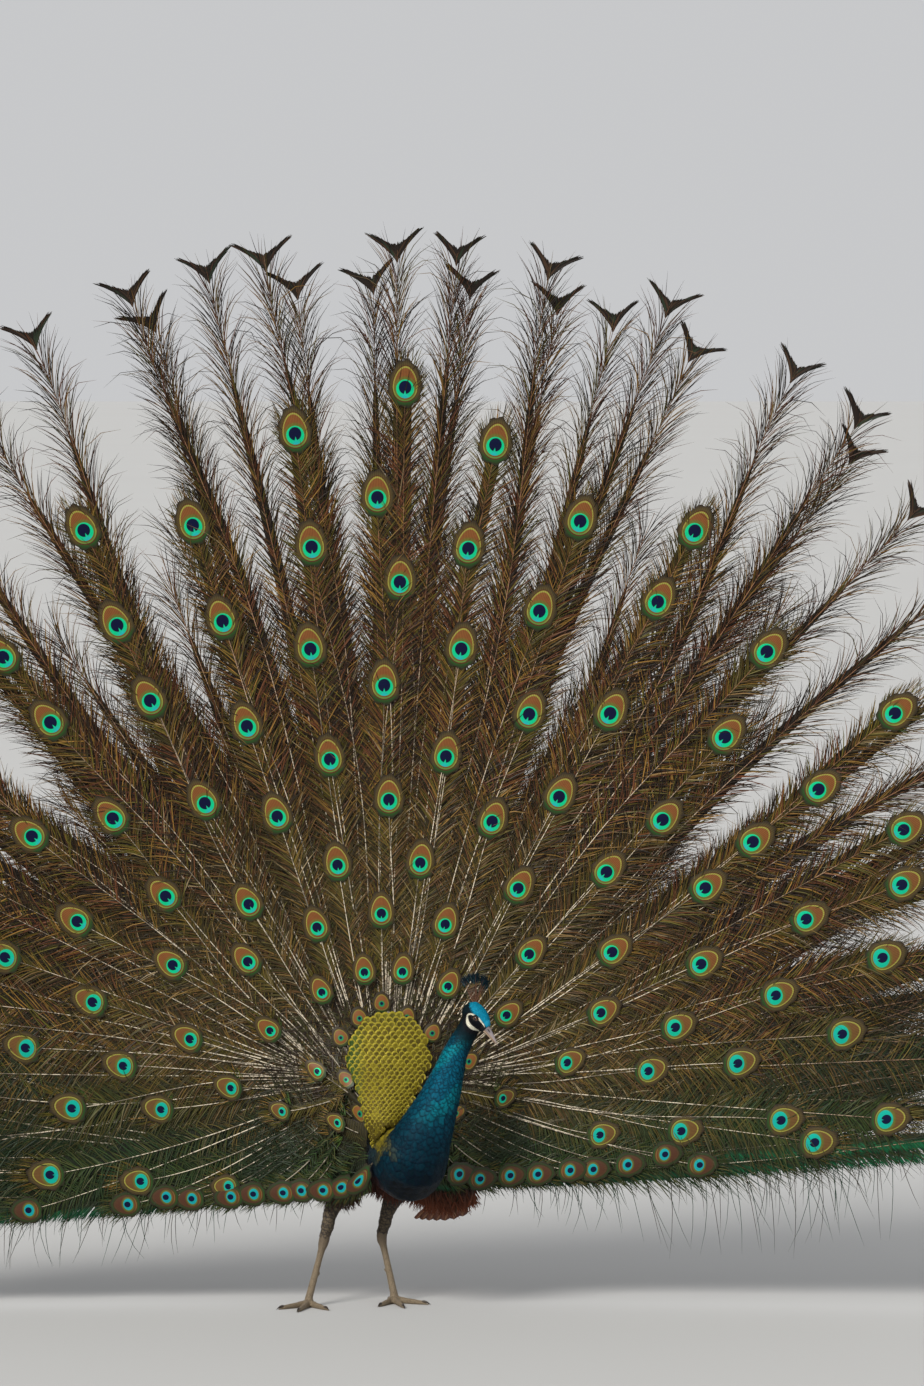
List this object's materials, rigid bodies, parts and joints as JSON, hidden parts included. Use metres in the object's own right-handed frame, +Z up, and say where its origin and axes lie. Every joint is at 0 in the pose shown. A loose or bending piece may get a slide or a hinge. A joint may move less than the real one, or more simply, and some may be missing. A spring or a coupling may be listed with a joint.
{
  "type": "peacock figure",
  "caption": "Life-size still peacock with its train raised in a full fan, standing on its own feet, body turned a little and head looking down to its left.",
  "frame": {"origin": "middle of the footprint of the whole bird, on the floor", "axes": "+X towards the bird's left along the widest span of the fan, -Y the way the bird faces, +Z up"},
  "size_m": [2.758, 0.4488, 1.8648],
  "materials": {
    "blue": "satin blue-green sheen of short feathers",
    "dark": "matt dark down",
    "horn": "smooth horn",
    "eye": "wet gloss",
    "gold": "satin gold-green scales",
    "bronze": "loose bronze-green barbs with eyespots",
    "green": "bright green sheen",
    "rust": "matt chestnut",
    "barred": "matt, barred buff and dark brown",
    "brown": "matt grey-brown",
    "skin": "scaly horn skin"
  },
  "bodies": {
    "root": {"trunk": "blue", "neck_lower": "blue", "neck_upper": "blue", "head": "blue", "eye_right": "eye", "eye_left": "eye", "bill_upper": "horn", "bill_lower": "horn", "crest": "green", "thigh_right": "dark", "shank_right": "skin", "foot_right": "skin", "wing_right": "barred", "primaries_right": "rust", "thigh_left": "dark", "shank_left": "skin", "foot_left": "skin", "wing_left": "barred", "primaries_left": "rust", "mantle": "gold", "train_right_8": "bronze", "train_right_7": "bronze", "train_right_6": "bronze", "train_right_5": "bronze", "train_right_4": "bronze", "train_right_3": "bronze", "train_right_2": "bronze", "train_right_1": "bronze", "train_middle": "bronze", "train_left_1": "bronze", "train_left_2": "bronze", "train_left_3": "bronze", "train_left_4": "bronze", "train_left_5": "bronze", "train_left_6": "bronze", "train_left_7": "bronze", "train_left_8": "bronze", "train_edge_right": "green", "train_edge_left": "green", "tail": "brown"}
  },
  "joints": []
}
